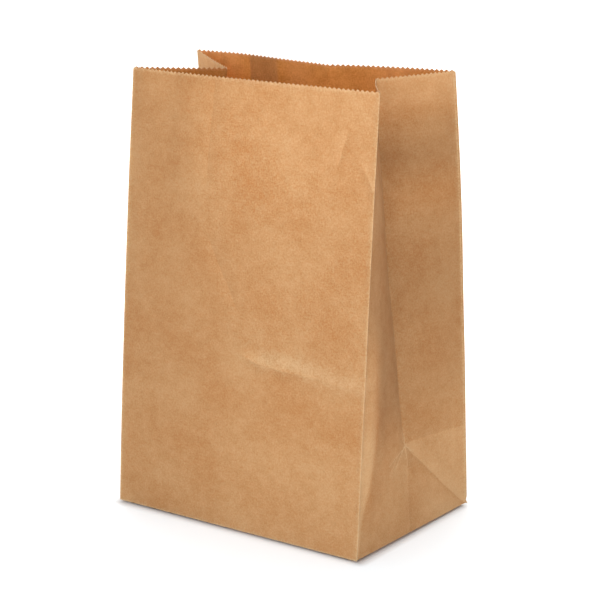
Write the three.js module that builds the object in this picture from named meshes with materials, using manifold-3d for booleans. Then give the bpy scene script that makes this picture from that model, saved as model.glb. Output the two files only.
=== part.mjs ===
// A brown paper lunch bag, opened and standing on its square bottom.
//
// The whole bag is one sheet of kraft paper. It is wrapped into a tube whose edges
// overlap in a glued seam on the back panel, both sides are folded in as gussets, and
// the lower end is folded and glued into a flat bottom. The mouth is cut in fine teeth.
//
// Millimetres, +X to the right along the front panel, +Y to the back, +Z up.
// The origin is the centre of the base, on the surface that the bag stands on.

import * as THREE from 'three';
import { mergeVertices } from 'three/addons/utils/BufferGeometryUtils.js';
import Module from 'manifold-3d';

// ---- the sheet and the folded bag ----
const width = 178;            // front and back panels, fold to fold
const depth = 112;            // each gusset, fold to fold
const height = 269;           // bottom fold to the tips of the teeth, along the paper
const paper = 0.14;           // one layer
const flapOverlap = 20;       // how far the two bottom flaps cover each other
const seamOverlap = 21;       // glued seam on the back panel
const seamFromLeft = 38.5;    // left back fold to the edge of the seam inside the bag
const seamEase = 8;           // the stretch in which the paper comes back to one layer
const cutEdge = 0.06;         // run of the slope that stands for a cut paper edge
const sharpestMitre = 0.4;    // least cosine that a fold's mitre is worked out with

// ---- the toothed mouth ----
const toothDepth = 1.1;
const panelTeeth = 58;        // across the front, and across the back
const halfGussetTeeth = 18;   // across each half of a gusset
const rimBand = 5;            // plain band left under the teeth

// ---- where the folds stand once the bag has been opened ----
// Base corners, mouth corners, and the inner ends of the gussets' centre folds.
const base = {
  frontLeft: [-88.2, -57.0], frontRight: [87.4, -58.4],
  backRight: [90.4, 58.4], backLeft: [-89.6, 56.6],
};
const mouth = {
  frontLeft: [-84.2, -40.0, 267.6], frontRight: [92.8, -47.8, 268.6],
  backRight: [83.2, 47.8, 267.8], backLeft: [-92.8, 33.6, 268.2],
  gussetRight: [61.0, -2.2, 268.0], gussetLeft: [-46.8, 1.6, 265.2],
};
// Where a gusset's centre fold meets the two slanting folds from the base corners.
const vertexRight = new THREE.Vector3(82.6, -0.4, 54.6);
const vertexLeft = new THREE.Vector3(-79.0, 0.6, 54.4);

// ---- how the paper springs between its folds ----
const frontBelly = 4.2;       // front panel out, upper left part
const backBow = 5.6;          // back panel in, at the mouth
const foldBow = 1.6;          // gusset centre folds towards the inside, half way up
const sideBelly = 1.4;        // half gussets out, half way up

const rowHeights = [0, 14, 28, 42, depth / 2, 84, 116, 150, 184, 216, 242, height - rimBand];
const smooth = THREE.MathUtils.smoothstep;

const cornerBase = (name) => new THREE.Vector3(...base[name], 0);
const cornerMouth = (name) => new THREE.Vector3(...mouth[name]);

/** A point on one of the four upright folds, v along the paper from the bottom fold. */
function upright(name, v) {
  return cornerBase(name).lerp(cornerMouth(name), v / height);
}

/** A point on a gusset's centre fold, from its vertex up to the mouth. */
function centreFold(vertex, mouthName, v) {
  const t = (v - depth / 2) / (height - depth / 2);
  const point = vertex.clone().lerp(cornerMouth(mouthName), t);
  point.x -= Math.sign(vertex.x) * foldBow * Math.sin(Math.PI * t);
  return point;
}

/** A point on the slanting fold from a base corner to the gusset's vertex. */
function slantFold(cornerName, vertex, v) {
  return cornerBase(cornerName).lerp(vertex, Math.min(1, (2 * v) / depth));
}

/** How far a panel stands out of its straight line, s across it and v up it. */
function frontOut(s, v) {
  const t = v / height;
  return frontBelly * Math.sin(Math.PI * Math.pow(s, 0.7)) * smooth(t, 0, 0.9);
}
function backOut(s, v) {
  return -backBow * Math.pow(Math.sin(Math.PI * s), 2) * smooth(v / height, 0.25, 1);
}
function gussetOut(s, v) {
  const t = v / height;
  return sideBelly * Math.sin(Math.PI * s) * smooth(t, 0.2, 0.5) * (1 - 0.6 * smooth(t, 0.6, 1));
}

/** The panels round the bag, anticlockwise from the front left fold, seen from above. */
function panelEnds(v) {
  const lower = v < depth / 2;
  const right = centreFold(vertexRight, 'gussetRight', Math.max(v, depth / 2));
  const left = centreFold(vertexLeft, 'gussetLeft', Math.max(v, depth / 2));
  const slant = (corner, vertex, top) => (lower ? slantFold(corner, vertex, v) : top);
  return [
    upright('frontLeft', v),
    upright('frontRight', v),
    slant('frontRight', vertexRight, right),
    slant('backRight', vertexRight, right),
    upright('backRight', v),
    upright('backLeft', v),
    slant('backLeft', vertexLeft, left),
    slant('frontLeft', vertexLeft, left),
  ];
}
const panels = [
  { parts: 10, teeth: panelTeeth, out: frontOut },
  { parts: 3, teeth: halfGussetTeeth, out: gussetOut },
  { parts: 4, teeth: 0, out: () => 0 },
  { parts: 3, teeth: halfGussetTeeth, out: gussetOut },
  { parts: 10, teeth: panelTeeth, out: backOut, seam: true },
  { parts: 3, teeth: halfGussetTeeth, out: gussetOut },
  { parts: 4, teeth: 0, out: () => 0 },
  { parts: 3, teeth: halfGussetTeeth, out: gussetOut },
];

// The seam, as shares of the back panel's width counted from its right fold.
const seamInnerCut = 1 - seamFromLeft / width;
const seamOuterCut = 1 - (seamFromLeft + seamOverlap) / width;
const seamEaseEnd = 1 - (seamFromLeft + seamOverlap + seamEase) / width;
const seamCut = cutEdge / width;

/**
 * The two faces of the paper, as distances outwards from the panel's own surface.
 * The paper that comes from the right passes inside the paper that comes from the left.
 */
function faces(panel, s) {
  if (!panel.seam) return { outer: paper / 2, inner: -paper / 2 };
  const eased = THREE.MathUtils.clamp((s - seamEaseEnd) / (seamOuterCut - seamEaseEnd), 0, 1);
  const single = { outer: paper / 2 - eased * paper, inner: -paper / 2 - eased * paper };
  if (s <= seamOuterCut) return single;
  if (s <= seamInnerCut) return { outer: paper / 2, inner: -1.5 * paper };
  return { outer: paper / 2, inner: -paper / 2 };
}

/** Shares across a panel where its points lie, with the seam's edges where it has one. */
function shares(panel, count) {
  const list = Array.from({ length: count + 1 }, (_, i) => i / count);
  if (!panel.seam) return list;
  const edges = [seamEaseEnd, seamOuterCut, seamOuterCut + seamCut, seamInnerCut, seamInnerCut + seamCut];
  const clear = list.filter((s) => edges.every((edge) => Math.abs(edge - s) > 2 * seamCut));
  return [...clear, ...edges].sort((a, b) => a - b);
}

/** One row of points round the bag: an array of panels, each an array of points. */
function makeRow(v, toothed) {
  const ends = panelEnds(v);
  return panels.map((panel, i) => {
    const from = ends[i];
    const to = ends[(i + 1) % ends.length];
    const along = to.clone().sub(from);
    if (along.length() < 1e-6) return [{ at: from, ...faces(panel, 0) }];
    const outward = new THREE.Vector3(along.y, -along.x, 0).normalize();
    const list = shares(panel, toothed ? 2 * panel.teeth : panel.parts);
    return list.map((s) => {
      const at = from.clone().addScaledVector(along, s).addScaledVector(outward, panel.out(s, v));
      if (toothed) at.z -= toothDepth * valley(s * panel.teeth);
      return { at, ...faces(panel, s) };
    });
  });
}

/** 0 at the tip of a tooth and 1 at the bottom of the cut between two teeth. */
function valley(turns) {
  const phase = turns - Math.floor(turns);
  return Math.abs(2 * phase - 1);
}

/** Joins two rows of points, lower and upper, panel by panel, with triangles facing out. */
function stitch(lower, upper, triangles) {
  lower.forEach((a, panel) => {
    const b = upper[panel];
    let i = 0;
    let j = 0;
    while (i < a.length - 1 || j < b.length - 1) {
      const nextA = i < a.length - 1 ? (i + 0.5) / (a.length - 1) : Infinity;
      const nextB = j < b.length - 1 ? (j + 0.5) / (b.length - 1) : Infinity;
      if (nextA <= nextB) {
        triangles.push([a[i], a[i + 1], b[j]]);
        i += 1;
      } else {
        triangles.push([a[i], b[j + 1], b[j]]);
        j += 1;
      }
    }
  });
}

/**
 * For each point, the cosine between its normal and the steepest face round it, so that
 * the paper keeps its thickness right up to a fold.
 */
function mitres(skin, triangles) {
  const normals = skin.getAttribute('normal');
  const positions = skin.getAttribute('position');
  const cosines = new Array(normals.count).fill(1);
  const facing = new THREE.Vector3();
  const normal = new THREE.Vector3();
  triangles.forEach((corners) => {
    const [a, b, c] = corners.map((i) => new THREE.Vector3().fromBufferAttribute(positions, i));
    facing.crossVectors(b.sub(a), c.sub(a)).normalize();
    corners.forEach((i) => {
      cosines[i] = Math.min(cosines[i], normal.fromBufferAttribute(normals, i).dot(facing));
    });
  });
  return cosines.map((cosine) => Math.max(cosine, sharpestMitre));
}

/** The loop of point numbers round a row, each fold's shared point taken once. */
function loopOf(row) {
  return row.flatMap((list) => list.slice(0, -1));
}

/** The bag's wall and floor as one closed body: outer skin, inner skin, rim and two floors. */
function wallGeometry() {
  const rows = rowHeights.map((v) => makeRow(v, false));
  rows.push(makeRow(height, true));
  const points = [];
  const numbered = rows.map((row) => {
    const lists = row.map((list) => list.slice(0, -1).map((point) => points.push(point) - 1));
    const firsts = lists.map((_, i) => {
      for (let k = 1; k <= lists.length; k += 1) {
        const next = lists[(i + k) % lists.length];
        if (next.length) return next[0];
      }
      return 0;
    });
    return lists.map((list, i) => [...list, firsts[i]]);
  });

  const middle = [];
  for (let r = 1; r < numbered.length; r += 1) stitch(numbered[r - 1], numbered[r], middle);
  const skin = new THREE.BufferGeometry();
  skin.setAttribute('position', new THREE.Float32BufferAttribute(points.flatMap((p) => p.at.toArray()), 3));
  skin.setIndex(middle.flat());
  skin.computeVertexNormals();
  const normals = skin.getAttribute('normal');
  const cosines = mitres(skin, middle);

  const count = points.length;
  const bottom = loopOf(numbered[0]);
  const inBottom = new Set(bottom);
  const position = [];
  const addSkin = (face, floor) => {
    points.forEach((point, i) => {
      const normal = new THREE.Vector3().fromBufferAttribute(normals, i);
      const at = point.at.clone().addScaledVector(normal, point[face] / Math.sqrt(cosines[i]));
      if (inBottom.has(i)) at.z = floor;
      position.push(...at.toArray());
    });
  };
  addSkin('outer', 0);
  addSkin('inner', 2 * paper);
  position.push(0, 0, 0, 0, 0, 2 * paper);

  const faceList = [...middle];
  middle.forEach(([a, b, c]) => faceList.push([a + count, c + count, b + count]));
  const rim = loopOf(numbered[numbered.length - 1]);
  rim.forEach((a, i) => {
    const b = rim[(i + 1) % rim.length];
    faceList.push([a, b, b + count], [a, b + count, a + count]);
  });
  bottom.forEach((a, i) => {
    const b = bottom[(i + 1) % bottom.length];
    faceList.push([b, a, 2 * count], [a + count, b + count, 2 * count + 1]);
  });
  return geometryFrom(position, faceList.flat());
}

function geometryFrom(position, index) {
  const geometry = new THREE.BufferGeometry();
  geometry.setAttribute('position', new THREE.Float32BufferAttribute(position, 3));
  geometry.setIndex(index);
  return geometry;
}

/** A flat plate with the given outline, between two heights. */
function plate(outline, from, to) {
  const shape = new THREE.Shape(outline.map(([x, y]) => new THREE.Vector2(x, y)));
  const geometry = new THREE.ExtrudeGeometry(shape, { depth: to - from, bevelEnabled: false });
  geometry.translate(0, 0, from);
  geometry.deleteAttribute('normal');
  geometry.deleteAttribute('uv');
  return mergeVertices(geometry, 1e-4);
}

// ---- the folded bottom ----
// The sheet goes on below the bottom fold by half the depth and half the overlap. The side
// flaps are folded in first, then the back flap, and the front flap last, so the front flap
// is the lowest layer. The front and back flaps have slanted ends, which are folds that run
// at 45 degrees from the corners. They leave a triangle of each side flap in sight.
const flapLength = (depth + flapOverlap) / 2;
const flapEnd = width / 2 - flapLength;
const sideFlaps = [
  [base.frontRight, base.backRight, [flapEnd, depth / 2], [flapEnd, -depth / 2]],
  [base.backLeft, base.frontLeft, [-flapEnd, -depth / 2], [-flapEnd, depth / 2]],
];
const reach = 4;              // how far the cutting plates pass outside the bag
const outside = width / 2 + reach;
const sideCuts = [
  [base.frontRight, [outside, -depth / 2], [outside, depth / 2], base.backRight, [(width - depth) / 2, 0]],
  [base.backLeft, [-outside, depth / 2], [-outside, -depth / 2], base.frontLeft, [(depth - width) / 2, 0]],
];
const backFlapCut = [
  [-width, flapOverlap / 2], [width, flapOverlap / 2], [width, depth], [-width, depth],
];

const wasm = await Module();
wasm.setup();

function solidFrom(geometry) {
  return new wasm.Manifold(new wasm.Mesh({
    numProp: 3,
    vertProperties: new Float32Array(geometry.getAttribute('position').array),
    triVerts: new Uint32Array(geometry.getIndex().array),
  }));
}

function geometryOf(solid) {
  const { vertProperties, triVerts } = solid.getMesh();
  return geometryFrom(Array.from(vertProperties), Array.from(triVerts));
}

function bagGeometry() {
  let bag = solidFrom(wallGeometry());
  sideFlaps.forEach((outline) => {
    bag = bag.add(solidFrom(plate(outline, 1.5 * paper, 3 * paper)));
  });
  sideCuts.forEach((outline) => {
    bag = bag.subtract(solidFrom(plate(outline, -1, 2 * paper)));
  });
  bag = bag.subtract(solidFrom(plate(backFlapCut, -1, paper)));
  const geometry = geometryOf(bag);
  geometry.computeVertexNormals();
  return geometry;
}

const kraftPaper = new THREE.MeshStandardMaterial({
  name: 'kraft_paper', color: 0xb98a5c, roughness: 0.82, metalness: 0,
});

const bag = new THREE.Mesh(bagGeometry(), kraftPaper);
bag.name = 'paper_bag';

const part = new THREE.Group();
part.add(bag);

export default part;
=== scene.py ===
"""A brown paper lunch bag, standing open: one sheet of kraft paper, folded and glued.

The sheet starts as a flat grid, with the seam's two edges and the bottom flaps on it.
Every point is then carried to its folded place, the flaps are flattened to a few faces,
and the sheet gets the thickness of the paper. All lengths are in metres.
"""
import math

import bpy
import numpy as np
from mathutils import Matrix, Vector


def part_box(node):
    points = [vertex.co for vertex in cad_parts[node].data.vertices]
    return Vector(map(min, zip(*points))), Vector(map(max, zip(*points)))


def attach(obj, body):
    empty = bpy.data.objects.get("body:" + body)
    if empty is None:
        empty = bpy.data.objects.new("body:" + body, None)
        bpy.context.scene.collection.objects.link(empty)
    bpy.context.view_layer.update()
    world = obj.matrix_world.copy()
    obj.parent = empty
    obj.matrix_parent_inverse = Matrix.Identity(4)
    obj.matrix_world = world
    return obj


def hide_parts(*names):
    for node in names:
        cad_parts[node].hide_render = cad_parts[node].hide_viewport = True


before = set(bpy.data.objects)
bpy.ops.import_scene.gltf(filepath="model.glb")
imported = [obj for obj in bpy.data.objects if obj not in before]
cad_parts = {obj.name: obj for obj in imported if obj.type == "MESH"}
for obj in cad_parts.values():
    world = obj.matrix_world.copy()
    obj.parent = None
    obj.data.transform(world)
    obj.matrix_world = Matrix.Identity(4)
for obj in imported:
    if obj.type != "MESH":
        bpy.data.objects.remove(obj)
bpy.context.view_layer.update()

MM = 0.001

# ------------------------------------------------------------------ the bag's sizes
LOW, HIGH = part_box("paper_bag")
HALF_X = (HIGH.x - LOW.x) / 2
HALF_Y = (HIGH.y - LOW.y) / 2
TOP = HIGH.z
PANEL = 0.9575 * 2 * HALF_X            # front and back panels, fold to fold
GUSSET = 0.9580 * 2 * HALF_Y           # each side, fold to fold
SHEET_TOP = 1.0015 * TOP               # bottom fold to the tips of the teeth
PAPER = 0.13 * MM                      # one layer
LAYER = 0.16 * MM                      # from one layer to the next in a folded stack
FLAP = GUSSET / 2 + 10 * MM            # bottom fold to the end of a flap

# ------------------------------------------------------------------ teeth and grid
PANEL_TEETH = 58
HALF_TEETH = 18
TOOTH = 1.15 * MM
PANEL_STEPS = 2 * PANEL_TEETH
HALF_STEPS = 2 * HALF_TEETH
UPPER_STEPS = 66                       # rows between the gusset's vertex and the rim band
RIM_BAND = 5 * MM                      # the rows stop this far below the tips of the teeth
RIM_ROW = 2.6 * MM                     # and one more row stands here, below the tips
BASE_ROWS = (1.0 * MM, 2.3 * MM)       # extra rows close to the bottom fold
FOLD_STEPS = (0.45 * MM, 0.95 * MM)    # extra columns close to each fold
SEAM_OUTER = 77 / PANEL_STEPS          # edge of the seam seen from outside, share of the back
SEAM_INNER = 91 / PANEL_STEPS          # edge of the seam seen from inside
SEAM_EASE = 9 * MM
HEM = 1.2 * MM                         # how far the folded bottom edge stands off the ground
FLAP_CURL = 9 * MM                     # the flaps curl up to the edge over this width
WALL_CURL = 14 * MM                    # the walls take up the lift of the edge over this height
TUCK = 0.35 * MM                       # a layer that is folded in stays this far inside the edge

# Base corners and mouth corners, as shares of the half width, half depth and height.
BASE = {
    "front_left": (-0.949, -0.975), "front_right": (0.940, -0.999),
    "back_right": (0.973, 0.999), "back_left": (-0.964, 0.968),
}
MOUTH = {
    "front_left": (-0.906, -0.684, 0.9993), "front_right": (0.998, -0.818, 1.0030),
    "back_right": (0.890, 0.818, 1.0030), "back_left": (-1.006, 0.575, 1.0055),
    "centre_right": (0.656, -0.038, 1.0008), "centre_left": (-0.503, 0.027, 0.9904),
}
VERTEX = {"right": (0.8886, -0.007, 0.2033), "left": (-0.8500, 0.010, 0.2025)}
SIZE = np.array([HALF_X, HALF_Y, TOP])

PANELS = ["back_outer", "left_back", "left_front", "front", "right_front", "right_back", "back_inner"]
FULL_PANELS = [PANELS.index(name) for name in ("front", "back_outer", "back_inner")]
FOLD_FIRST = ("left_back", "right_front")   # half gussets that start at their upright fold


def from_upright(name, share):
    """Share of a half gusset, counted from its upright fold to its centre fold."""
    return share if name in FOLD_FIRST else 1 - share


def along_gusset(name, share):
    """Distance along the whole gusset from its first upright fold on the sheet."""
    return (share + (name not in FOLD_FIRST)) * GUSSET / 2


def corner_low(name):
    return np.array([*BASE[name], 0.0]) * SIZE


def corner_high(name):
    return np.array(MOUTH[name]) * SIZE


def smooth(x, low, high):
    """0 below low, 1 above high, and an even S between them."""
    t = np.clip((x - low) / (high - low), 0, 1)
    return t * t * (3 - 2 * t)


def bell(x, middle, width):
    return np.exp(-(((x - middle) / width) ** 2))


# ------------------------------------------------------------------ the flat sheet
def shares(steps, width, first=0.0, last=1.0):
    """Shares across a panel: one per half tooth, and two more close to each fold."""
    even = np.arange(steps + 1) / steps
    beside = np.array(FOLD_STEPS) / width
    every = np.concatenate([even, beside, 1 - beside])
    return np.sort(every[(every >= first - 1e-6) & (every <= last + 1e-6)])


def lay_out_columns():
    """For each column of the sheet: its panel, its share across it and its place on the sheet."""
    layout = [
        ("back_outer", shares(PANEL_STEPS, PANEL, first=SEAM_OUTER), PANEL),
        ("left_back", shares(HALF_STEPS, GUSSET / 2), GUSSET / 2),
        ("left_front", shares(HALF_STEPS, GUSSET / 2), GUSSET / 2),
        ("front", shares(PANEL_STEPS, PANEL), PANEL),
        ("right_front", shares(HALF_STEPS, GUSSET / 2), GUSSET / 2),
        ("right_back", shares(HALF_STEPS, GUSSET / 2), GUSSET / 2),
        ("back_inner", shares(PANEL_STEPS, PANEL, last=SEAM_INNER), PANEL),
    ]
    panel, share, along = [], [], []
    start = 0.0
    for number, (name, list_of_shares, width) in enumerate(layout):
        kept = list_of_shares if number == len(layout) - 1 else list_of_shares[:-1]
        panel += [number] * len(kept)
        share += list(kept)
        along += list(start + (kept - list_of_shares[0]) * width)
        start += (list_of_shares[-1] - list_of_shares[0]) * width
    return np.array(panel), np.array(share), np.array(along)


def lay_out_rows():
    """Heights on the sheet, from the end of the flaps (below 0) to the mouth."""
    flap_step = PANEL / PANEL_STEPS
    flap_rows = -np.arange(int(round(FLAP / flap_step)), 0, -1) * flap_step
    even_rows = np.linspace(0, GUSSET / 2, HALF_STEPS + 1)
    low_rows = np.sort(np.concatenate([even_rows, BASE_ROWS]))
    high_rows = np.linspace(GUSSET / 2, SHEET_TOP - RIM_BAND, UPPER_STEPS + 1)[1:]
    rim_rows = np.array([SHEET_TOP - RIM_ROW, SHEET_TOP])
    return np.concatenate([flap_rows, low_rows, high_rows, rim_rows])


def valley(panel, share):
    """0 at the tip of a tooth and 1 in the notch between two teeth."""
    turns = share * np.where(np.isin(panel, FULL_PANELS), PANEL_TEETH, HALF_TEETH)
    return np.abs(2 * (turns - np.floor(turns)) - 1)


# ------------------------------------------------------------------ where the folds stand
UPRIGHT_BOW = {
    "front_left": ((-1.25, 0.0), (0, 0.35, 0.62, 0.85, 0.95, 1.0, 0.95, 0.8, 0.6, 0.3, 0)),
    "front_right": ((-0.35, 0.0), (0, 0.4, 0.8, 1.0, 0.9, 0.9, 1.0, 0.9, 0.7, 0.3, 0)),
    "back_right": ((1.45, 0.6), (0, 0.25, 0.5, 0.72, 0.86, 0.93, 0.97, 1.0, 0.86, 0.42, 0)),
    "back_left": ((-1.1, 0.6), (0, 0.3, 0.6, 0.8, 0.95, 1.0, 0.95, 0.8, 0.55, 0.3, 0)),
}


def upright(name, v):
    """A point on one of the four upright folds, v up the sheet from the bottom fold."""
    t = v / SHEET_TOP
    point = corner_low(name) * (1 - t) + corner_high(name) * t
    (across, deep), profile = UPRIGHT_BOW[name]
    amount = np.interp(t, np.linspace(0, 1, len(profile)), profile) * MM
    return point + np.array([across, deep, 0]) * amount


def centre_fold(side, v):
    """A point on a gusset's centre fold, from its vertex up to the mouth."""
    t = max(0.0, (v - GUSSET / 2) / (SHEET_TOP - GUSSET / 2))
    point = np.array(VERTEX[side]) * SIZE * (1 - t) + corner_high("centre_" + side) * t
    inward = -1 if side == "right" else 1
    bow = 1.6 * math.sin(math.pi * t) + 0.35 * math.sin(5.3 * math.pi * t)
    return point + np.array([inward * bow * MM, 0, 0])


def slant(corner, side, v):
    """A point on the slanting fold from a base corner to the gusset's vertex."""
    t = min(1.0, 2 * v / GUSSET)
    return corner_low(corner) * (1 - t) + np.array(VERTEX[side]) * SIZE * t


def between(a, b, share):
    return a[None, :] * (1 - share[:, None]) + b[None, :] * share[:, None]


def opposite(corner):
    """The corner at the other end of the same side."""
    end, side = corner.split("_")
    return ("back_" if end == "front" else "front_") + side


def half_gusset(corner, side, v, share):
    """Points on half a gusset, share 0 at the upright fold and 1 at the centre fold."""
    edge = upright(corner, v)
    if v >= GUSSET / 2:
        return between(edge, centre_fold(side, v), share)
    fold_share = max(2 * v / GUSSET, 1e-6)
    fold = slant(corner, side, v)
    middle = (fold + slant(opposite(corner), side, v)) / 2
    outer = between(edge, fold, np.clip(share / fold_share, 0, 1))
    inner = between(fold, middle, np.clip((share - fold_share) / (1 - fold_share), 0, 1))
    return np.where((share <= fold_share)[:, None], outer, inner)


def wall_row(v, panel, share):
    """The folded places of one row of the sheet above the bottom fold."""
    points = np.zeros((len(share), 3))
    for number, name in enumerate(PANELS):
        here = panel == number
        s = share[here]
        if name == "front":
            points[here] = between(upright("front_left", v), upright("front_right", v), s)
        elif name.startswith("back"):
            points[here] = between(upright("back_right", v), upright("back_left", v), s)
        else:
            side, end = name.split("_")
            points[here] = half_gusset(end + "_" + side, side, v, from_upright(name, s))
    return points


# ------------------------------------------------------------------ the folded bottom
def floor_place(x, y):
    """Carries a place on the straight base rectangle to the base as it really stands."""
    across = ((x + PANEL / 2) / PANEL)[:, None]
    deep = ((y + GUSSET / 2) / GUSSET)[:, None]
    front = corner_low("front_left") * (1 - across) + corner_low("front_right") * across
    back = corner_low("back_left") * (1 - across) + corner_low("back_right") * across
    return front * (1 - deep) + back * deep


def end_flap(share, d, mirrored):
    """The front flap (or the back one, mirrored): its ends fold under along slanting folds."""
    from_left = share * PANEL
    from_right = PANEL - from_left
    x = np.where(from_right < d, PANEL / 2 - d, from_left - PANEL / 2)
    x = np.where(from_left < d, d - PANEL / 2, x)
    nearest = np.minimum(from_left, from_right)
    y = np.minimum(nearest, d) - GUSSET / 2
    y = np.where(nearest < d, np.maximum(y, TUCK - GUSSET / 2), y)
    from_edge = np.minimum(y + GUSSET / 2, PANEL / 2 - np.abs(x))
    if mirrored:
        x, y = -x, -y
    points = floor_place(x, y)
    first, folded_in = (1.5, 3.5) if mirrored else (0.5, 2.5)
    level = first + (folded_in - first) * smooth(d - nearest, -0.5 * MM, 1.2 * MM)
    points[:, 2] = level * LAYER + hem_lift(from_edge, FLAP_CURL)
    return points


def side_level(u, d):
    """Height of a side flap in layers: it sinks a little between the corners."""
    near_corner = np.exp(-((np.minimum(u, GUSSET - u) / (9 * MM)) ** 2))
    return 3.6 + 0.9 * np.maximum(near_corner, smooth(d, 0, 14 * MM))


def side_flap(u, d, side):
    """A side flap, u along the gusset from its first upright fold."""
    along = np.clip(u, TUCK, GUSSET - TUCK) - GUSSET / 2
    depth = np.full_like(u, PANEL / 2 - d)
    points = floor_place(depth, along) if side == "right" else floor_place(-depth, -along)
    from_edge = np.minimum(d, np.minimum(u, GUSSET - u))
    points[:, 2] = side_level(u, d) * LAYER + hem_lift(from_edge, FLAP_CURL)
    return points


def flap_row(d, panel, share):
    """The folded places of one row of the sheet at d below the bottom fold."""
    points = np.zeros((len(share), 3))
    for number, name in enumerate(PANELS):
        here = panel == number
        s = share[here]
        reach = d[here]
        if name == "front":
            points[here] = end_flap(s, reach, mirrored=False)
        elif name.startswith("back"):
            points[here] = end_flap(s, reach, mirrored=True)
            points[here, 2] -= seam_shift(name, s)
        else:
            points[here] = side_flap(along_gusset(name, s), reach, name.split("_")[0])
    return points


def hem_lift(distance, reach):
    """The bottom curls up a little near its folded edge, so only its middle is on the ground."""
    return HEM * (1 - smooth(distance, 0, reach))


def seam_shift(name, share):
    """How far a layer of the seam stands out of the back panel, outwards."""
    ease = SEAM_EASE / PANEL
    if name == "back_outer":
        return LAYER / 2 * (1 - smooth(share, SEAM_INNER, SEAM_INNER + ease))
    return -LAYER / 2 * smooth(share, SEAM_OUTER - ease, SEAM_OUTER)


# ------------------------------------------------------------------ how the paper springs
def ridge(x, y, start, end, height, above, below, fade=0.35):
    """A crease from start to end on a panel: a crest that rises slowly on its upper (left)
    side over the width above, and drops quickly on its other side over the width below."""
    start, end = np.array(start), np.array(end)
    run = end - start
    length = np.hypot(*run)
    along = ((x - start[0]) * run[0] + (y - start[1]) * run[1]) / length
    off = ((y - start[1]) * run[0] - (x - start[0]) * run[1]) / length
    t = along / length
    ends = smooth(t, -fade, 0.12) * (1 - smooth(t, 1 - 0.12, 1 + fade))
    profile = np.where(off > 0, np.exp(-off / above), np.exp(off / below))
    return height * ends * profile


def ridges(x, y, table):
    """All the ridges of a table together. The table is in mm."""
    total = np.zeros_like(x)
    for start, end, height, above, below, fade in table:
        start, end = np.array(start) * MM, np.array(end) * MM
        total += ridge(x, y, start, end, height * MM, above * MM, below * MM, fade)
    return total


def waves(x, y, seed, longest, shortest, count, height):
    """Gentle swells of several lengths and directions, always the same for one seed."""
    random = np.random.default_rng(seed)
    total = np.zeros_like(x)
    for _ in range(count):
        length = random.uniform(shortest, longest)
        turn = random.uniform(0, math.pi)
        phase = random.uniform(0, 2 * math.pi)
        distance = x * math.cos(turn) + y * math.sin(turn)
        total += np.cos(2 * math.pi * distance / length + phase) * length / longest
    return height * total / math.sqrt(count)


def handling(x, y, seed, width, count, height):
    """Faint short creases from handling, scattered over a panel."""
    random = np.random.default_rng(seed)
    total = np.zeros_like(x)
    for _ in range(count):
        place = np.array([random.uniform(0, width), random.uniform(0.1, 0.95) * SHEET_TOP])
        turn = random.uniform(0, math.pi)
        reach = random.uniform(12, 45) * MM
        other = place + reach * np.array([math.cos(turn), math.sin(turn)])
        size = height * random.uniform(-1, 1)
        total += ridge(x, y, place, other, size, 5 * MM, 3 * MM)
    return total


# Ridges: start and end, height, widths above and below the line, and how far it fades past its
# ends as a share of its length. VERTEX_UP is the height of the gussets' vertices on the sheet.
VERTEX_UP = GUSSET / 2 / MM
FRONT_RIDGES = [
    ((92, 110), (119, 104.3), 1.3, 11, 4, 0.35),
    ((112, 105), (180, 102), 0.9, 15, 7, 0.1),
    ((155, 230), (158, 241), -0.35, 3, 5, 0.35),
    ((172, 214), (177, 222), -0.4, 4, 4, 0.35),
    ((38, 205), (41, 262), 0.25, 5, 14, 0.35),
]
BACK_RIDGES = [
    ((-5, VERTEX_UP), (PANEL / MM + 5, VERTEX_UP + 1), 0.8, 9, 7, 0.35),
    ((40, 150), (95, 139), -0.5, 8, 4, 0.35),
]
GUSSET_RIDGES = [((VERTEX_UP, VERTEX_UP), (0, VERTEX_UP - 4), -1.0, 14, 22, 0.35)]
VERTEX_WRINKLES = [
    ((55, 55), (38, 43), 0.35, 1.4, 2.2, 0.1),
    ((51, 57), (31, 46), 0.25, 1.6, 2.2, 0.1),
    ((53, 51), (46, 36), 0.25, 1.2, 2, 0.1),
    ((52, 56), (53, 6), 0.3, 2.5, 4, 0.1),
]


def front_relief(x, y):
    """How far the front panel stands out, x from its left fold and y up from its base."""
    s, t = x / PANEL, y / SHEET_TOP
    out = 4.2 * MM * np.sin(np.pi * np.clip(s, 0, 1) ** 0.7) * smooth(t, 0, 0.9)
    out += ridges(x, y, FRONT_RIDGES)
    return out


def back_relief(x, y):
    """How far the back panel stands out, x from its right fold (seen from the front)."""
    s, t = x / PANEL, y / SHEET_TOP
    out = -4.6 * MM * np.sin(np.pi * np.clip(s, 0, 1)) ** 2 * smooth(t, 0.25, 1)
    out -= 7.0 * MM * np.exp(-np.abs(s - 0.44) / 0.13) * smooth(t, 0.7, 1)
    out += 1.6 * MM * bell(s, 0.84, 0.12) * smooth(t, 0.5, 1)
    out += ridges(x, y, BACK_RIDGES)
    return out


def gusset_relief(x, y, back_half):
    """How far half a gusset stands out, x from its upright fold and y up from its base."""
    s, t = x / (GUSSET / 2), y / SHEET_TOP
    flatter = 0.6 * smooth(t, 0.6, 1) if back_half else 1.7 * smooth(t, 0.7, 1)
    out = 1.4 * MM * np.sin(np.pi * np.clip(s, 0, 1)) * smooth(t, 0.2, 0.5) * (1 - flatter)
    if back_half:
        middle = np.sin(np.pi * np.clip(s, 0, 1)) ** 0.6
        out += 2.4 * MM * middle * bell(y, 238 * MM, 15 * MM)
        out += 0.5 * MM * middle * bell(y, 192 * MM, 8 * MM)
        out += ridges(x, y, GUSSET_RIDGES)
    else:
        rounded = (x / (16 * MM)) * np.exp(1 - x / (16 * MM))
        out += 2.3 * MM * rounded * (1 - smooth(y, 70 * MM, 150 * MM)) * smooth(y, 4 * MM, 40 * MM)
    return out


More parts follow.
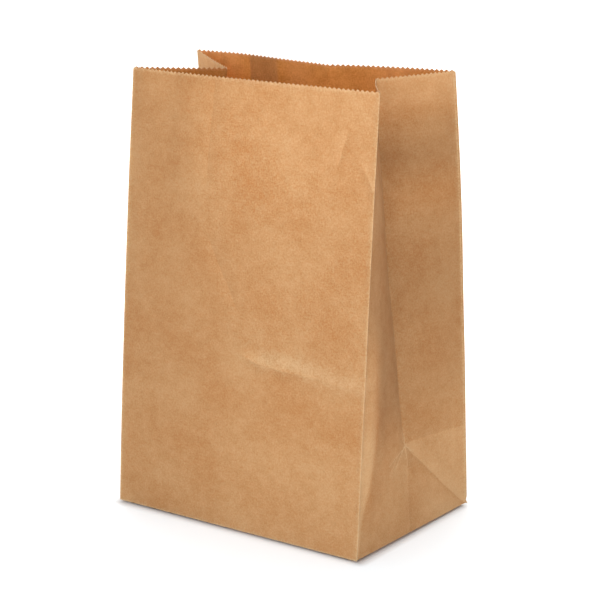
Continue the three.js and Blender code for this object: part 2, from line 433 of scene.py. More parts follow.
def relief(panel, share, v):
    """How far each point of the walls stands out of its straight panel."""
    out = np.zeros((len(v), len(share)))
    y = np.repeat(v[:, None], len(share), 1)
    for number, name in enumerate(PANELS):
        here = panel == number
        s = np.repeat(share[None, here], len(v), 0)
        rows = y[:, here]
        if name == "front":
            x = s * PANEL
            piece = front_relief(x, rows) + waves(x, rows, 3, 95 * MM, 30 * MM, 9, 0.28 * MM)
            piece += handling(x, rows, 12, PANEL, 16, 0.22 * MM)
        elif name.startswith("back"):
            x = s * PANEL
            piece = back_relief(x, rows) + waves(x, rows, 5, 95 * MM, 30 * MM, 9, 0.28 * MM)
            piece += handling(x, rows, 14, PANEL, 16, 0.22 * MM)
            piece += seam_shift(name, s)
        else:
            x = from_upright(name, s) * GUSSET / 2
            piece = gusset_relief(x, rows, name.endswith("back"))
            piece += waves(x, rows, 7 + number, 70 * MM, 22 * MM, 9, 0.22 * MM)
            piece += handling(x, rows, 20 + number, GUSSET / 2, 9, 0.2 * MM)
            if name == "right_front":
                piece += ridges(x, rows, VERTEX_WRINKLES)
        width = PANEL if number in FULL_PANELS else GUSSET / 2
        from_fold = np.minimum(s, 1 - s) * width
        held = smooth(from_fold, 0, 9 * MM) * smooth(rows, 0, 9 * MM)
        out[:, here] = piece * held
    return out


# ------------------------------------------------------------------ the folded sheet
def fold_sheet(panel, share, rows):
    """The folded place of every point: an array of rows by columns by three."""
    wall = rows >= 0
    flat_v = np.repeat(rows[:, None], len(share), 1)
    notch = TOOTH * valley(panel, share)
    flat_v[-1] -= notch
    flat_v[0] += notch
    places = np.zeros((len(rows), len(share), 3))
    for r, v in enumerate(rows):
        if v >= 0:
            places[r] = wall_row(v, panel, share)
        else:
            places[r] = flap_row(-flat_v[r], panel, share)
    normals = grid_normals(places[wall])
    places[wall] += normals * relief(panel, share, rows[wall])[:, :, None]
    places[-1, :, 2] -= notch
    places[wall, :, 2] += hem_lift(rows[wall], WALL_CURL)[:, None]
    places[wall] = round_off(places[wall], panel, share, rows[wall])
    places[wall] = pinch_folds(places[wall], panel, share, rows[wall])
    settle_base(places, panel, share, rows)
    return places, flat_v


def grid_normals(places):
    """Outward directions of a grid of points, a little smoothed across the folds."""
    across = np.gradient(places, axis=1)
    up = np.gradient(places, axis=0)
    normal = np.cross(across, up)
    return normal / np.maximum(np.linalg.norm(normal, axis=2, keepdims=True), 1e-12)


def round_off(places, panel, share, v):
    """Softens the fold that runs from the front corner to the vertex into a rounded fan."""
    mask = np.zeros(places.shape[:2])
    for name, amount in (("right_front", 1.0), ("left_front", 0.7)):
        here = panel == PANELS.index(name)
        from_edge = from_upright(name, share[here])[None, :] * GUSSET / 2
        height = v[:, None]
        on_fold = np.exp(-(((from_edge - height) / (11 * MM)) ** 2))
        inside = smooth(from_edge, 0, 5 * MM) * (1 - smooth(from_edge, 44 * MM, 54 * MM))
        low = (1 - smooth(height, 50 * MM, 75 * MM)) * smooth(height, 1 * MM, 8 * MM)
        mask[:, here] = amount * on_fold * inside * low
    mask = mask[1:-1, 1:-1, None]
    for _ in range(120):
        middle = (places[:-2, 1:-1] + places[2:, 1:-1] + places[1:-1, :-2] + places[1:-1, 2:]) / 4
        places[1:-1, 1:-1] += mask * 0.8 * (middle - places[1:-1, 1:-1])
    return places


PINCHES = {                     # fold: its two panels, height of the crest, its reach
    "front_right": ("front", "right_front", 0.55, 1.1),
    "back_right": ("right_back", "back_inner", 1.00, 1.5),
    "back_left": ("back_outer", "left_back", 0.80, 1.3),
    "front_left": ("left_front", "front", 0.45, 1.1),
    "centre_right": ("right_front", "right_back", 0.40, 1.2),
    "centre_left": ("left_back", "left_front", 0.40, 1.2),
}


STEPS_IN = 8                    # a fold's way out is taken from the columns this far from it


def corner_tip(v):
    """The foot of the back right fold stands out in a small tip, with a shallow dent over it."""
    return 0.9 * MM * bell(v, 0, 1.2 * MM) - 0.3 * MM * bell(v, 3.0 * MM, 1.2 * MM)


def pinch_folds(places, panel, share, v):
    """Every upright fold was once pressed flat, so it stands out as a sharp crest."""
    width = np.where(np.isin(panel, FULL_PANELS), PANEL, GUSSET / 2)
    for fold_name, (before, after, crest, reach) in PINCHES.items():
        first = np.where(panel == PANELS.index(before))[0]
        second = np.where(panel == PANELS.index(after))[0]
        fold = second[0]
        left = places[:, fold] - places[:, first[-STEPS_IN]]
        right = places[:, fold] - places[:, second[STEPS_IN]]
        left /= np.linalg.norm(left, axis=1, keepdims=True)
        right /= np.linalg.norm(right, axis=1, keepdims=True)
        way = left + right
        way[:, 2] = 0
        way /= np.maximum(np.linalg.norm(way, axis=1, keepdims=True), 1e-9)
        uneven = 1 + 0.12 * np.sin(v / (17 * MM) + fold) * np.sin(v / (41 * MM) + 2 * fold)
        amount = crest * MM * uneven * (0.75 + 0.25 * smooth(v, 0, 6 * MM))
        if fold_name.startswith("centre"):
            amount = amount * smooth(v, GUSSET / 2, GUSSET / 2 + 12 * MM)
        if fold_name == "back_right":
            amount = amount + corner_tip(v)
        for group, distance in (
            (first, (1 - share[first]) * width[first]),
            (second, share[second] * width[second]),
        ):
            fade = np.exp(-distance / (reach * MM))
            near = fade > 0.01
            places[:, group[near]] += way[:, None, :] * amount[:, None, None] * fade[None, near, None]
    return places


def settle_base(places, panel, share, rows):
    """The bottom row of the walls meets the flaps at the height of its own layer."""
    bottom = int(np.where(rows == 0)[0][0])
    for number, name in enumerate(PANELS):
        here = panel == number
        if name == "front":
            places[bottom, here, 2] = 0.5 * LAYER
        elif name.startswith("back"):
            places[bottom, here, 2] = 1.5 * LAYER - seam_shift(name, share[here])
        else:
            u = along_gusset(name, share[here])
            places[bottom, here, 2] = side_level(u, np.zeros_like(u)) * LAYER
    places[bottom, :, 2] += HEM


def wear_of(panel, share, flat_v):
    """How worn the paper is at each point: 1 on a fold or an edge, 0 away from them."""
    width = np.where(np.isin(panel, FULL_PANELS), PANEL, GUSSET / 2)
    from_fold = np.minimum(share, 1 - share) * width
    from_fold[0] = from_fold[-1] = 20 * MM
    wear = np.exp(-from_fold / (0.55 * MM))[None, :] * np.ones_like(flat_v)
    wear = np.maximum(wear, np.exp(-np.abs(flat_v) / (0.6 * MM)))
    for name in ("left_back", "left_front", "right_front", "right_back"):
        here = panel == PANELS.index(name)
        x, y = from_upright(name, share[here])[None, :] * GUSSET / 2, flat_v[:, here]
        centre = smooth(x, GUSSET / 2 - 3 * MM, GUSSET / 2)
        away = 0.95 * smooth(y, 56 * MM, 66 * MM) + 0.9 * (1 - smooth(y, 48 * MM, 54 * MM))
        fading = 1 - centre * away
        wear[:, here] *= fading
        # On the right gusset's back half, the pale line lies 1 mm beside the upright fold rather than on
        # it.
        if name == "right_back":
            line = 0.9 * np.exp(-((x - 1.0 * MM) / (0.42 * MM)) ** 2) * np.ones_like(y)
            wear[:, here] = np.maximum(wear[:, here] * smooth(x, 0, 1.0 * MM), line)
    from_rim = flat_v[-1][None, :] - flat_v
    return np.maximum(wear, 0.75 * np.exp(-from_rim / (0.55 * MM)))


# The tone is painted light above 0 and painted shade below 0.
DARKEST, LIGHTEST = -1.2, 1.5    # the ends of the scale of tone


def front_painted_shading(x, y):
    """Painted light and shade on the front panel, x its share from the left fold and y up from the base:
    paler low down, towards the right and near the top, darker on the left and in a narrow band near the
    top.
    """
    tone = 0.40 * (1 - smooth(y, 0, 130 * MM))
    tone += 0.65 * smooth(x, 0.0, 0.75) - 0.4 + 0.1 * smooth(y, 130 * MM, 250 * MM)
    tone += 0.25 * smooth(x, 0.30, 0.42) * smooth(y, 170 * MM, 240 * MM)
    return tone - 0.25 * bell(x, 0.22, 0.05) * smooth(y, 150 * MM, 230 * MM)


def back_painted_light(name, x, y):
    """Painted light on the back panel, in pale patches towards the rim; the inner layer of the seam lap
    is also paler all the way up. x is its share from the right fold.
    """
    beyond_seam = smooth(x, SEAM_INNER, SEAM_INNER + 0.08)
    patches = bell(x, 0.20, 0.09) + 0.8 * bell(x, 0.57, 0.06) + beyond_seam
    tone = (0.45 + 0.5 * patches) * smooth(y, 215 * MM, 262 * MM)
    if name == "back_inner":
        tone += 0.3 * (x >= SEAM_OUTER)
    return tone


def front_half_painted_shading(to_centre, y):
    """Painted light and shade on a gusset's front half: a pale strip of painted light widens upwards
    beside the upright fold, with a band of painted shade beyond it, and painted shade deepens towards the
    centre fold.
    """
    above = smooth(y, 52 * MM, 90 * MM)
    low = 1 - smooth(y, 100 * MM, 150 * MM)
    strip = 1 * MM + 18 * MM * smooth(y, 0, 95 * MM)
    from_front = to_centre * GUSSET / 2
    shade = bell(from_front, 1.45 * strip, 6 * MM) * smooth(y, 15 * MM, 50 * MM)
    tone = -0.2 * above - 0.6 * above * to_centre ** 1.5
    tone += low * 1.3 * (1 - smooth(from_front, 0.6 * strip, 1.15 * strip))
    return tone - 0.30 * low * shade


def back_half_painted_shading(to_centre, y):
    """Painted light and shade on a gusset's back half: a dark and a pale band across it, painted light
    towards the rim, low down beside the upright fold and under the slanting fold, and soft painted shade
    at mid height.
    """
    off_middle = smooth(1 - to_centre, 0.0, 0.25) * (0.4 + 0.6 * smooth(to_centre, 0.0, 0.3))
    below_slant = smooth(to_centre * GUSSET / 2 - y, 0, 4 * MM)
    by_fold = 1 - smooth(to_centre, 0.2, 0.7)
    tone = -0.9 * bell(y, 224 * MM, 11 * MM) * (0.45 + 0.55 * to_centre)
    tone += 0.45 * bell(y, 198 * MM, 9 * MM) * off_middle
    tone += 1.15 * smooth(y, 236 * MM, 258 * MM) - 0.35 * bell(y, 150 * MM, 30 * MM)
    tone += 0.35 * (1 - smooth(y, 48 * MM, 60 * MM)) * by_fold
    return tone + 0.5 * below_slant * (1 - 0.85 * smooth(to_centre, 0.5, 1))


def painted_shading_of(panel, share, flat_v):
    """Painted light (above 0) and painted shade (below 0) on the paper at each point."""
    tone = np.zeros_like(flat_v)
    for number, name in enumerate(PANELS):
        here = panel == number
        y = flat_v[:, here]
        x = share[here][None, :] * np.ones_like(y)
        if name == "front":
            tone[:, here] = front_painted_shading(x, y)
        elif name.startswith("back"):
            tone[:, here] = back_painted_light(name, x, y)
        else:
            half = front_half_painted_shading if name.endswith("front") else back_half_painted_shading
            # On both halves of a gusset: painted light low down, where the floor throws light up, and a
            # little painted shade higher up.
            both = 0.70 * (1 - smooth(y, 25 * MM, 110 * MM)) - 0.22 * smooth(y, 52 * MM, 90 * MM)
            tone[:, here] = both + half(from_upright(name, x), y)
    return np.clip(tone, DARKEST, LIGHTEST)


def make_bag(papers):
    """Makes the sheet as a flat grid, folds it, and gives it the thickness of the paper."""
    panel, share, along = lay_out_columns()
    rows = lay_out_rows()
    places, flat_v = fold_sheet(panel, share, rows)
    bpy.ops.object.select_all(action="DESELECT")
    columns, steps_up = len(share) - 1, len(rows) - 1
    bpy.ops.mesh.primitive_grid_add(x_subdivisions=columns, y_subdivisions=steps_up, size=1)
    bag = bpy.context.object
    bag.name = "bag_shell"
    mesh = bag.data
    mesh.name = "bag_shell"
    assert len(mesh.vertices) == len(rows) * len(share)
    mesh.vertices.foreach_set("co", places.reshape(-1))
    mark_sheet(mesh, along, flat_v)
    mark_points(mesh, "wear", wear_of(panel, share, flat_v))
    # The tone attribute carries painted light and shade for the paper materials.
    mark_points(mesh, "tone", painted_shading_of(panel, share, flat_v))
    for paper in papers:
        mesh.materials.append(paper)
    flatten_flaps(bag, len(share), int((rows < 0).sum()))
    thicken(bag)
    return bag


def mark_points(mesh, name, values):
    """Writes one value for each point on to the mesh."""
    attribute = mesh.attributes.new(name, "FLOAT", "POINT")
    attribute.data.foreach_set("value", values.reshape(-1).astype(np.float32))


def mark_sheet(mesh, along, flat_v):
    """Writes each point's place on the flat sheet on to the mesh."""
    flat = np.stack([np.repeat(along[None, :], len(flat_v), 0), flat_v], axis=2).reshape(-1, 2)
    corners = np.zeros(len(mesh.loops), dtype=np.int32)
    mesh.loops.foreach_get("vertex_index", corners)
    layer = mesh.uv_layers[0]
    layer.name = "sheet"
    layer.data.foreach_set("uv", flat[corners].reshape(-1).astype(np.float32))
    mesh.update()


def flatten_flaps(bag, columns, flap_rows):
    """Joins the flaps' small coplanar faces, which lie flat under the bag."""
    mesh = bag.data
    last = flap_rows * columns
    for polygon in mesh.polygons:
        polygon.select = max(polygon.vertices) < last
    bpy.context.tool_settings.mesh_select_mode = (False, False, True)
    bpy.ops.object.mode_set(mode="EDIT")
    bpy.ops.mesh.dissolve_limited(angle_limit=math.radians(0.4))
    bpy.ops.object.mode_set(mode="OBJECT")


def thicken(bag):
    """Gives the sheet its thickness, with its cut edges in their own material slot."""
    solid = bag.modifiers.new("paper", "SOLIDIFY")
    solid.thickness = PAPER
    solid.offset = 0
    solid.material_offset_rim = 1
    solid.material_offset = 2
    bpy.context.view_layer.objects.active = bag
    bpy.ops.object.modifier_apply(modifier=solid.name)
    bag.select_set(True)
    bpy.ops.object.shade_smooth_by_angle(angle=math.radians(70))


# ------------------------------------------------------------------ materials
def new_group(name, inputs, outputs):
    group = bpy.data.node_groups.new(name, "ShaderNodeTree")
    for label, kind, value in inputs:
        socket = group.interface.new_socket(label, in_out="INPUT", socket_type=kind)
        if value is not None:
            socket.default_value = value
    for label, kind in outputs:
        group.interface.new_socket(label, in_out="OUTPUT", socket_type=kind)
    return group, group.nodes.new("NodeGroupInput"), group.nodes.new("NodeGroupOutput")


def noise(tree, vector, scale, detail, roughness):
    node = tree.nodes.new("ShaderNodeTexNoise")
    node.inputs["Scale"].default_value = scale
    node.inputs["Detail"].default_value = detail
    node.inputs["Roughness"].default_value = roughness
    tree.links.new(vector, node.inputs["Vector"])
    return node.outputs["Fac"]


def stretch(tree, vector, scale, turn=0.0):
    node = tree.nodes.new("ShaderNodeMapping")
    node.inputs["Scale"].default_value = scale
    node.inputs["Rotation"].default_value = (0, 0, turn)
    tree.links.new(vector, node.inputs["Vector"])
    return node.outputs["Vector"]


def math_node(tree, operation, a, b=None, c=None, clamp=False):
    node = tree.nodes.new("ShaderNodeMath")
    node.operation = operation
    node.use_clamp = clamp
    for socket, value in zip(node.inputs, (a, b, c)):
        if value is None:
            continue
        if isinstance(value, (int, float)):
            socket.default_value = value
        else:
            tree.links.new(value, socket)
    return node.outputs[0]


def vector_node(tree, operation, a, b=None, scale=None):
    node = tree.nodes.new("ShaderNodeVectorMath")
    node.operation = operation
    tree.links.new(a, node.inputs[0])
    if b is not None:
        tree.links.new(b, node.inputs[1])
    if scale is not None:
        tree.links.new(scale, node.inputs["Scale"])
    return node.outputs["Value" if operation in ("DOT_PRODUCT", "LENGTH") else "Vector"]


def ramp(tree, value, low, high, low_to=0.0, high_to=1.0):
    node = tree.nodes.new("ShaderNodeMapRange")
    for label, number in (("From Min", low), ("From Max", high), ("To Min", low_to), ("To Max", high_to)):
        node.inputs[label].default_value = number
    tree.links.new(value, node.inputs["Value"])
    return node.outputs["Result"]


def blend_colours(tree, factor, a, b, mode="MIX"):
    node = tree.nodes.new("ShaderNodeMix")
    node.data_type = "RGBA"
    node.blend_type = mode
    if isinstance(factor, (int, float)):
        node.inputs[0].default_value = factor
    else:
        tree.links.new(factor, node.inputs[0])
    for socket, value in ((node.inputs[6], a), (node.inputs[7], b)):
        if isinstance(value, tuple):
            socket.default_value = (*value, 1)
        else:
            tree.links.new(value, socket)
    return node.outputs[2]


def mixed(tree, *parts):
    """The sum of several values, each times its own weight."""
    total = None
    for value, weight in parts:
        part = math_node(tree, "MULTIPLY", value, weight)
        total = part if total is None else math_node(tree, "ADD", total, part)
    return total


def paper_grain_group():
    """Pulp clouds, fibres and flecks in the flat sheet, as a tone round 0.5 and a height."""
    group, inside, outside = new_group(
        "paper_grain",
        [("Sheet", "NodeSocketVector", None), ("Clouds", "NodeSocketFloat", 1.0),
         ("Fibres", "NodeSocketFloat", 1.0)],
        [("Tone", "NodeSocketFloat"), ("Cloud", "NodeSocketFloat"),
         ("Flecks", "NodeSocketFloat"), ("Height", "NodeSocketFloat")],
    )
    sheet = inside.outputs["Sheet"]
    broad = noise(group, sheet, 32, 3, 0.5)
    cloudy = noise(group, sheet, 150, 3, 0.6)
    clouds = mixed(group, (broad, 0.55), (cloudy, 0.45))
    group.links.new(clouds, outside.inputs["Cloud"])
    centred_clouds = math_node(group, "SUBTRACT", clouds, 0.5)
    clouds = math_node(group, "MULTIPLY", centred_clouds, inside.outputs["Clouds"])
    long_fibres = noise(group, stretch(group, sheet, (1500, 420, 1), 0.12), 1.0, 1, 0.7)
    cross_fibres = noise(group, stretch(group, sheet, (520, 1700, 1), -0.3), 1.0, 1, 0.7)
    grit = noise(group, sheet, 880, 2, 0.8)
    fibres = mixed(group, (long_fibres, 0.22), (cross_fibres, 0.18), (grit, 0.6))
    centred_fibres = math_node(group, "SUBTRACT", fibres, 0.5)
    fibres = math_node(group, "MULTIPLY", centred_fibres, inside.outputs["Fibres"])
    tone = math_node(group, "ADD", math_node(group, "ADD", clouds, fibres), 0.5, clamp=True)
    fleck_noise = noise(group, stretch(group, sheet, (900, 420, 1), 0.5), 1.0, 1, 0.5)
    flecks = ramp(group, fleck_noise, 0.70, 0.78)
    group.links.new(tone, outside.inputs["Tone"])
    group.links.new(flecks, outside.inputs["Flecks"])
    group.links.new(grit, outside.inputs["Height"])
    return group


def crease_group():
    """One straight crease in the flat sheet: a thin pale line, and painted light on one side of it with
    painted shade on the other.
    """
    group, inside, outside = new_group(
        "crease_line_and_painted_shade",
        [("Sheet", "NodeSocketVector", None), ("Start", "NodeSocketVector", None),
         ("Way", "NodeSocketVector", None), ("Left", "NodeSocketVector", None),
         ("Length", "NodeSocketFloat", 0.01),
         ("Width", "NodeSocketFloat", 0.0006), ("Reach", "NodeSocketFloat", 0.012)],
        [("Line", "NodeSocketFloat"), ("Sides", "NodeSocketFloat")],
    )
    here = vector_node(group, "SUBTRACT", inside.outputs["Sheet"], inside.outputs["Start"])
    along = vector_node(group, "DOT_PRODUCT", here, inside.outputs["Way"])
    along = math_node(group, "MINIMUM", math_node(group, "MAXIMUM", along, 0), inside.outputs["Length"])
    on_line = vector_node(group, "SCALE", inside.outputs["Way"], scale=along)
    away = vector_node(group, "LENGTH", vector_node(group, "SUBTRACT", here, on_line))
    widths = math_node(group, "DIVIDE", away, inside.outputs["Width"])
    line = math_node(group, "SUBTRACT", 1, widths, clamp=True)
    leftwards = vector_node(group, "DOT_PRODUCT", here, inside.outputs["Left"])
    side = ramp(group, leftwards, -0.4 * MM, 0.4 * MM, -1, 1)
    reaches = math_node(group, "DIVIDE", away, inside.outputs["Reach"])
    near = math_node(group, "SUBTRACT", 1, reaches, clamp=True)
    group.links.new(line, outside.inputs["Line"])
    group.links.new(math_node(group, "MULTIPLY", side, near), outside.inputs["Sides"])
    return group


# Creases: start and end in mm, width, reach, strength of the pale line, and how much lighter
# the paper is on the left of the line (and darker on its right): painted light and shade for the
# crease's two faces. The pale line is worn paper along the crease, but the broad pale lines on the
# front wrinkle are a painted highlight along its crest. x is counted from the centre fold of the
# gusset towards the back, or from the left fold of the front panel; y is counted from the base.
RIGHT_CREASES = [
    ((0, 55), (56, 0), 0.9, 12, 0.12, 0.50),
    ((-1, 54.5), (-14, 45), 0.62, 4, 1.0, 0.30),
    ((-3, 53), (-24, 48.5), 0.55, 3, 0.9, -0.25),
    ((-10, 52), (-22, 43), 0.5, 3, 0.7, 0.2),
    ((0, 55), (1, 42), 0.6, 4, 0.9, 0.0),
    ((1, 42), (-3, 3), 0.9, 8, 0.10, -0.25),
    ((0, 55), (-3, 63), 0.6, 4, 1.0, 0.3),
    ((0, 55), (8, 49), 0.6, 4, 1.0, 0.2),
    ((2, 56), (56, 52), 1.0, 10, 0.03, -0.28),
]
LEFT_CREASES = [
    ((0, 55), (-56, 0), 0.9, 12, 0.15, 0.35),
    ((0, 55), (56, 0), 0.9, 12, 0.15, 0.35),
    ((0, 55), (13, 47), 0.6, 4, 0.9, 0.2),
    ((0, 55), (2, 4), 0.8, 8, 0.12, 0.2),
]
# Painted light and shade on the front: the wrinkle's faces, with broad painted highlights along its
# crest, and a few soft painted bands; the narrow pale lines are worn paper.
FRONT_CREASES = [
    ((97, 107.6), (103, 105.6), 0.9, 8, 0.40, 0.35),
    ((103, 105.6), (122, 104.0), 0.9, 9, 0.32, 0.35),
    ((122, 104.0), (140, 103.4), 1.0, 9, 0.06, 0.22),
    ((140, 103.4), (180, 101.0), 1.0, 12, 0.0, 0.16),
    ((108, 109.0), (141, 108.2), 7.5, 1, 0.55, 0.0),
    ((141, 106.5), (178, 102.5), 9.0, 1, 0.36, 0.0),
    ((158, 241), (154, 228), 0.7, 7, 0.10, -0.40),
    ((171, 224), (178, 213), 0.7, 6, 0.15, 0.45),
    ((66, 262), (63, 215), 1.0, 14, 0.0, -0.28),
    ((68, 170), (84, 142), 1.0, 11, 0.0, -0.28),
]

SEAM_END = SHEET_TOP / MM
OUTER_LAP = [((0.3, 0), (0.3, SEAM_END), 0.7, 1, 0.9, 0.0)]
LAP_PLACE = SEAM_OUTER * PANEL / MM
# Beside the edge of the outer lap, the layer below gets a dark band: a painted shadow of the lap's edge.
LAP_EDGE_SHADOW = [((LAP_PLACE, 0), (LAP_PLACE, SEAM_END), 0.5, 3, 0.0, -0.9)]


def crease_origins():
    """Where the creases of each panel are counted from, as places along the sheet."""
    panel, _, along = lay_out_columns()
    return [
        (float(along[np.where(panel == PANELS.index(name))[0][0]]), creases)
        for name, creases in (
            ("right_back", RIGHT_CREASES), ("left_front", LEFT_CREASES), ("front", FRONT_CREASES),
            ("back_outer", OUTER_LAP), ("back_inner", LAP_EDGE_SHADOW),
        )
    ]


def add_creases(tree, sheet, origin, creases):
    """Places creases that are counted from origin along the sheet: their pale line, and the painted light
    and shade beside it.
    """
    group = bpy.data.node_groups.get("crease_line_and_painted_shade") or crease_group()
    lines, painted_side_shading = 0.0, 0.0
    for start, end, width, reach, strength, painted_light_on_left in creases:
        node = tree.nodes.new("ShaderNodeGroup")
        node.node_tree = group
        length = math.dist(start, end)
        way = ((end[0] - start[0]) / length, (end[1] - start[1]) / length)
        for label, value in (
            ("Start", (origin + start[0] * MM, start[1] * MM, 0)),
            ("Way", (way[0], way[1], 0)),
            ("Left", (-way[1], way[0], 0)),
            ("Length", length * MM),
            ("Width", width * MM),
            ("Reach", reach * MM),
        ):
            node.inputs[label].default_value = value
        tree.links.new(sheet, node.inputs["Sheet"])
        if strength:
            line = math_node(tree, "MULTIPLY", node.outputs["Line"], strength)
            lines = math_node(tree, "MAXIMUM", line, lines)
        painted_side_shading = math_node(tree, "MULTIPLY_ADD", node.outputs["Sides"], painted_light_on_left, painted_side_shading)
    return lines, painted_side_shading


def sheet_vector(tree):
    node = tree.nodes.new("ShaderNodeUVMap")
    node.uv_map = "sheet"
    return node.outputs["UV"]


THROUGH = 0.35                         # share of the light that a face of the paper lets in
FIBRES = 4.3                           # contrast of the fibres
WANDER = 1.1 * MM                      # how far a crease strays to either side of its line


def wandering(tree, sheet):
    """The sheet's places, moved a little, so that straight creases wander."""
    wobble = tree.nodes.new("ShaderNodeTexNoise")
    wobble.inputs["Scale"].default_value = 130
    tree.links.new(sheet, wobble.inputs["Vector"])
    centred = tree.nodes.new("ShaderNodeVectorMath")
    centred.operation = "MULTIPLY_ADD"
    tree.links.new(wobble.outputs["Color"], centred.inputs[0])
    centred.inputs[1].default_value = (2 * WANDER, 2 * WANDER, 0)
    centred.inputs[2].default_value = (-WANDER, -WANDER, 0)
    return vector_node(tree, "ADD", sheet, centred.outputs["Vector"])


def named_value(tree, name):
    node = tree.nodes.new("ShaderNodeAttribute")
    node.attribute_name = name
    return node.outputs["Fac"]


def painted_light_and_crease_lines(tree, sheet, paper, worn, creases):
    """The paper's colour with painted shade and painted light from the tone attribute and beside the
    creases, and the creases' pale lines.
    """
    tone, lines = named_value(tree, "tone"), 0.0
    if creases:
        moved = wandering(tree, sheet)
        for origin, group_of_creases in creases:
            crease, crease_side_shading = add_creases(tree, moved, origin, group_of_creases)
            lines = math_node(tree, "MAXIMUM", crease, lines)
            tone = math_node(tree, "ADD", tone, crease_side_shading)
    # Painted shade darkens the paper below tone 0, and painted light makes it paler above.
    gain = ramp(tree, tone, DARKEST, LIGHTEST, 0.72, 1.27)
    toned = vector_node(tree, "SCALE", paper, scale=gain)
    # Where the painted light is strongest, the colour also fades towards the worn colour: a painted
    # sheen.
    return blend_colours(tree, ramp(tree, tone, 0.5, 1.5, 0.0, 0.45), toned, worn), lines


def paper_material(name, grain, dark, light, worn, through, rough, clouds, clear=THROUGH, creases=()):
    """Kraft paper: it scatters light back, and lets a warm part of it through."""
    material = bpy.data.materials.new(name)
    material.use_nodes = True
    tree = material.node_tree
    shader = tree.nodes["Principled BSDF"]
    placed = tree.nodes.new("ShaderNodeGroup")
    placed.node_tree = grain
    placed.inputs["Clouds"].default_value = clouds
    placed.inputs["Fibres"].default_value = FIBRES
    sheet = sheet_vector(tree)
    tree.links.new(sheet, placed.inputs["Sheet"])
    paper = blend_colours(tree, placed.outputs["Tone"], dark, light)
    paper, lines = painted_light_and_crease_lines(tree, sheet, paper, worn, creases)
    fleck = math_node(tree, "MULTIPLY", placed.outputs["Flecks"], 0.35)
    flecked = blend_colours(tree, fleck, paper, tuple(0.55 * c for c in dark))
    patches = ramp(tree, placed.outputs["Tone"], 0.3, 0.6, 0.45, 0.95)
    # Wear on folds and edges and the creases' pale lines; the broad pale lines along the front wrinkle
    # are a painted highlight.
    wear_and_painted_highlight = math_node(tree, "MAXIMUM", named_value(tree, "wear"), lines)
    patchy = math_node(tree, "MULTIPLY", wear_and_painted_highlight, patches, clamp=True)
    coloured = blend_colours(tree, patchy, flecked, worn)
    tree.links.new(coloured, shader.inputs["Base Color"])
    roughness = ramp(tree, placed.outputs["Tone"], 0.2, 0.8, rough - 0.06, rough + 0.06)
    tree.links.new(roughness, shader.inputs["Roughness"])
    shader.inputs["Specular IOR Level"].default_value = 0.28
    bump = tree.nodes.new("ShaderNodeBump")
    bump.inputs["Strength"].default_value = 0.45
    bump.inputs["Distance"].default_value = 0.15 * MM
    tree.links.new(placed.outputs["Height"], bump.inputs["Height"])
    tree.links.new(bump.outputs["Normal"], shader.inputs["Normal"])
    glow = tree.nodes.new("ShaderNodeBsdfTranslucent")
    thin_pulp = ramp(tree, placed.outputs["Cloud"], 0.40, 0.60)
    glow_colour = blend_colours(tree, thin_pulp, tuple(0.85 * c for c in through), through)
    tree.links.new(glow_colour, glow.inputs["Color"])
    both = tree.nodes.new("ShaderNodeMixShader")
    both.inputs[0].default_value = clear
    tree.links.new(shader.outputs[0], both.inputs[1])
    tree.links.new(glow.outputs[0], both.inputs[2])
    tree.links.new(both.outputs[0], tree.nodes["Material Output"].inputs["Surface"])
    return material


def make_materials(creases):
    grain = paper_grain_group()
    kraft = paper_material(
        "kraft_paper", grain, dark=(0.555, 0.230, 0.064), light=(0.665, 0.448, 0.222),
        worn=(0.83, 0.62, 0.345), through=(0.82, 0.62, 0.37), rough=0.78, clouds=1.6,
        creases=creases,
    )
    edge = paper_material(
        "cut_paper_edge", grain, dark=(0.72, 0.50, 0.26), light=(0.90, 0.70, 0.42),
        worn=(0.90, 0.72, 0.44), through=(0.9, 0.7, 0.42), rough=0.85, clouds=1.0, clear=0.08,
    )
    # The inside faces are the same paper in a darker, more saturated colour: painted shade inside the
    # bag.
    inner = paper_material(
        "kraft_paper_inside_painted_shade", grain, dark=(0.49, 0.205, 0.042), light=(0.70, 0.370, 0.112),
        worn=(0.80, 0.52, 0.28), through=(1.0, 0.44, 0.11), rough=0.80, clouds=2.4,
    )
    return kraft, edge, inner


# ------------------------------------------------------------------ the studio
def make_floor():
    """A white floor that glows a little. Its glow is dimmed beside the foot of the bag, a painted contact
    shadow with a soft painted shadow round it, and it turns cooler near the foot.
    """
    bpy.ops.mesh.primitive_plane_add(size=14, location=(0, 0, 0))
    floor = bpy.context.object
    floor.name = "studio_floor"
    material = bpy.data.materials.new("studio_white_painted_shadow")
    material.use_nodes = True
    tree = material.node_tree
    shader = tree.nodes["Principled BSDF"]
    shader.inputs["Base Color"].default_value = (0.80, 0.80, 0.80, 1)
    place = tree.nodes.new("ShaderNodeTexCoord")
    split = tree.nodes.new("ShaderNodeSeparateXYZ")
    tree.links.new(place.outputs["Object"], split.inputs[0])
    across = math_node(tree, "SUBTRACT", math_node(tree, "ABSOLUTE", split.outputs["X"]), 0.95 * HALF_X)
    deep = math_node(tree, "SUBTRACT", math_node(tree, "ABSOLUTE", split.outputs["Y"]), 0.98 * HALF_Y)
    squares = [
        math_node(tree, "POWER", math_node(tree, "MAXIMUM", value, 0), 2) for value in (across, deep)
    ]
    away = math_node(tree, "SQRT", math_node(tree, "ADD", *squares))
    # Painted shadow: no glow at the foot of the bag, half of it 6 mm away, all of it 30 cm away.
    close = ramp(tree, away, 0.0, 0.006, 0.0, 0.44)
    wide = ramp(tree, away, 0.006, 0.3, 0.0, 0.44)
    # Near the foot the glow is cooler, which offsets the warm light that the bag throws on the floor.
    tint = blend_colours(tree, ramp(tree, away, 0.02, 0.15), (0.88, 0.99, 1.05), (1.0, 0.96, 0.92))
    tree.links.new(tint, shader.inputs["Emission Color"])
    tree.links.new(math_node(tree, "ADD", close, wide), shader.inputs["Emission Strength"])
    shader.inputs["Roughness"].default_value = 0.9
    shader.inputs["Specular IOR Level"].default_value = 0.1
    floor.data.materials.append(material)


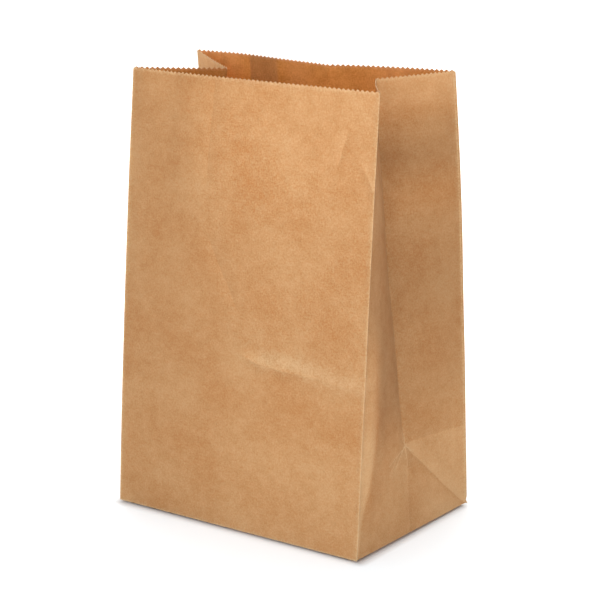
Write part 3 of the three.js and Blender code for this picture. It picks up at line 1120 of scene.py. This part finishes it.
def make_world():
    world = bpy.data.worlds.new("studio_air")
    bpy.context.scene.world = world
    world.use_nodes = True
    background = world.node_tree.nodes["Background"]
    background.inputs["Color"].default_value = (1.0, 0.96, 0.91, 1)
    background.inputs["Strength"].default_value = 0.43


def direction(azimuth, elevation):
    """From the bag towards a place round it: azimuth 0 is in front, 90 to the right."""
    a, e = math.radians(azimuth), math.radians(elevation)
    return Vector((math.sin(a) * math.cos(e), -math.cos(a) * math.cos(e), math.sin(e)))


# Lights: azimuth, elevation, distance, size, power and colour.
LIGHTS = {
    "top_light": (0, 86, 2.2, 1.6, 5, (1, 1, 1)),
    "back_light": (215, 45, 1.8, 1.4, 17, (1, 1, 1)),
    "key_light": (12, 22, 1.3, 0.7, 7.3, (0.93, 1.0, 1.12)),
    "side_fill": (65, 22, 1.6, 1.0, 2.9, (1.0, 0.86, 0.80)),
}


def make_lights():
    for name, (azimuth, elevation, distance, size, power, colour) in LIGHTS.items():
        data = bpy.data.lights.new(name, "AREA")
        data.shape = "SQUARE"
        data.size = size
        data.energy = power
        data.color = colour
        lamp = bpy.data.objects.new(name, data)
        bpy.context.scene.collection.objects.link(lamp)
        towards = direction(azimuth, elevation)
        lamp.location = Vector((0, 0, TOP / 2)) + towards * distance
        lamp.rotation_euler = towards.to_track_quat("Z", "Y").to_euler()


CAMERA_SIDE = (34.83, 14.54)           # azimuth and elevation
CAMERA_TARGET = Vector((0.0414 * PANEL, 0, 0.7348 * PANEL))
CAMERA_DISTANCE = 6.6577 * PANEL
CAMERA_LENS = 118.7


def make_camera():
    towards = direction(*CAMERA_SIDE)
    data = bpy.data.cameras.new("camera")
    data.lens = CAMERA_LENS
    data.sensor_width = 36
    data.clip_end = 50
    camera = bpy.data.objects.new("camera", data)
    bpy.context.scene.collection.objects.link(camera)
    camera.location = CAMERA_TARGET + towards * CAMERA_DISTANCE
    camera.rotation_euler = towards.to_track_quat("Z", "Y").to_euler()
    bpy.context.scene.camera = camera
    bpy.context.scene.view_settings.view_transform = "Standard"


make_camera()
make_world()
make_lights()
make_floor()
bag = make_bag(make_materials(crease_origins()))
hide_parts("paper_bag")
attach(bag, "root")
